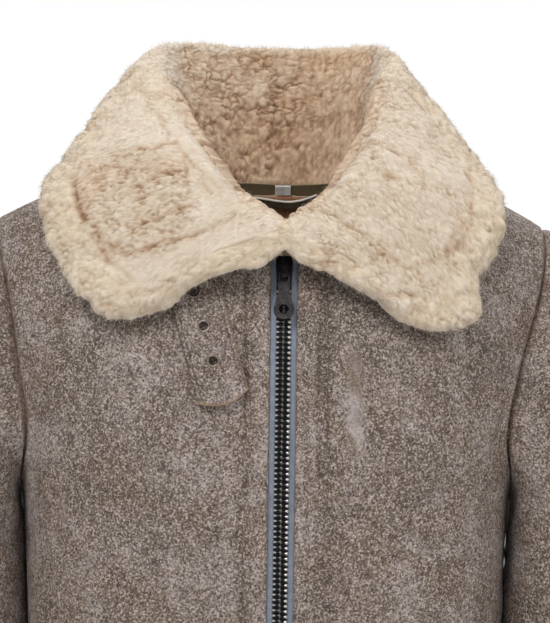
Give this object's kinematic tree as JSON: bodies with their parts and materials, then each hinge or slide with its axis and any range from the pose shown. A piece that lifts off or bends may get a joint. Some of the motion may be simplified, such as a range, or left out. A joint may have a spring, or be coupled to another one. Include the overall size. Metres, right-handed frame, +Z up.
{
  "type": "sheepskin flying jacket",
  "caption": "Closed hip-length flying jacket of aged sheepskin with a deep turned-down fleece collar, front zip and throat strap.",
  "frame": {"origin": "middle of the neck's base, level with the inner ends of the shoulders, where the wearer's neck carries it", "axes": "+X to the wearer's left, +Y to the back, +Z up; the zip faces -Y"},
  "size_m": [0.6511, 0.2622, 0.7596],
  "materials": {
    "aged_leather": "aged and rubbed, matt",
    "fleece": "curly wool pile",
    "zip_tape": "woven, matt",
    "zip_metal": "dark plated",
    "eyelet_metal": "dark plated",
    "patch_leather": "smooth, matt",
    "loop_cord": "piped band",
    "label_cloth": "woven, blank"
  },
  "bodies": {
    "jacket": {"front_right": "aged_leather", "front_left": "aged_leather", "back": "aged_leather", "sleeve_right": "aged_leather", "sleeve_left": "aged_leather", "collar": "fleece", "zip_tape_right": "zip_tape", "zip_tape_left": "zip_tape", "zip_chain": "zip_metal", "zip_box": "zip_metal", "zip_slider": "zip_metal", "throat_strap": "aged_leather", "eyelet_1": "eyelet_metal", "eyelet_2": "eyelet_metal", "eyelet_3": "eyelet_metal", "neck_patch": "patch_leather", "hanger_loop": "loop_cord", "size_tab": "label_cloth"},
    "zip_pull_tab": {"zip_pull": "zip_metal"}
  },
  "joints": [
    {"name": "zip_pull_swing", "type": "hinge", "parent": "jacket", "child": "zip_pull_tab", "pos_m": [0, -0.11417, -0.09913], "axis": [-1, 0, 0], "range_deg": [0, 70]}
  ]
}
